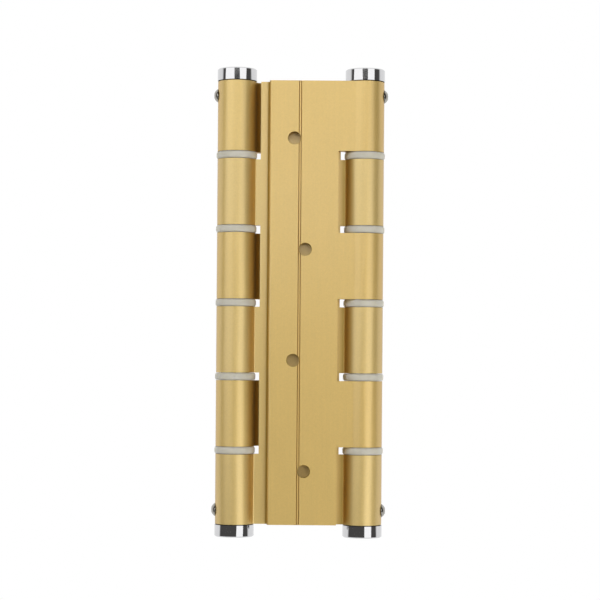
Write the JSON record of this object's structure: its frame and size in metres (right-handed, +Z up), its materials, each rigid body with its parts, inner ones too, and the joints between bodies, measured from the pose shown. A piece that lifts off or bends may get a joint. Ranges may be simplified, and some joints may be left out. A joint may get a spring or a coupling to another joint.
{
  "type": "double action spring hinge",
  "caption": "Double action cafe door hinge: two leaves on a centre link with sprung barrels, nylon washers between the knuckles and chrome tension caps.",
  "frame": {"origin": "centre of the closed hinge, midway between the two pivots at half its height", "axes": "+Z up along both pivots, +X from the jamb leaf's pivot to the door leaf's pivot, +Y towards the jamb leaf's mounting face"},
  "size_m": [0.0708, 0.0164, 0.1904],
  "materials": {
    "gold_aluminium": "satin gold anodised",
    "chrome": "polished",
    "nylon": "milky, slightly see-through",
    "screw_steel": "bright nickel plated",
    "tube_steel": "ground",
    "spring_steel": "oil tempered wire"
  },
  "bodies": {
    "jamb_leaf": {"jamb_leaf": "gold_aluminium", "left_tension_plug": "chrome", "jamb_lock_screw": "screw_steel"},
    "centre_link": {"centre_link": "gold_aluminium", "left_anchor_plug": "chrome", "right_anchor_plug": "chrome", "left_link_lock_screw": "screw_steel", "right_link_lock_screw": "screw_steel", "left_pivot_tube": "tube_steel", "right_pivot_tube": "tube_steel", "left_torsion_spring": "spring_steel", "right_torsion_spring": "spring_steel", "left_washer_1": "nylon", "left_washer_2": "nylon", "left_washer_3": "nylon", "left_washer_4": "nylon", "left_washer_5": "nylon", "right_washer_1": "nylon", "right_washer_2": "nylon", "right_washer_3": "nylon", "right_washer_4": "nylon", "right_washer_5": "nylon"},
    "door_leaf": {"door_leaf": "gold_aluminium", "right_tension_plug": "chrome", "door_lock_screw": "screw_steel"}
  },
  "joints": [
    {"name": "jamb_swing", "type": "hinge", "parent": "jamb_leaf", "child": "centre_link", "pos_m": [-0.0261, 0, 0], "axis": [0, 0, -1], "range_deg": [0, 180], "stiffness_Nm_per_rad": 0.25, "springref_deg": -89.95, "deforming": ["left_torsion_spring"]},
    {"name": "door_swing", "type": "hinge", "parent": "centre_link", "child": "door_leaf", "pos_m": [0.0261, 0, 0], "axis": [0, 0, 1], "range_deg": [0, 180], "stiffness_Nm_per_rad": 0.25, "springref_deg": -89.95, "deforming": ["right_torsion_spring"]}
  ]
}
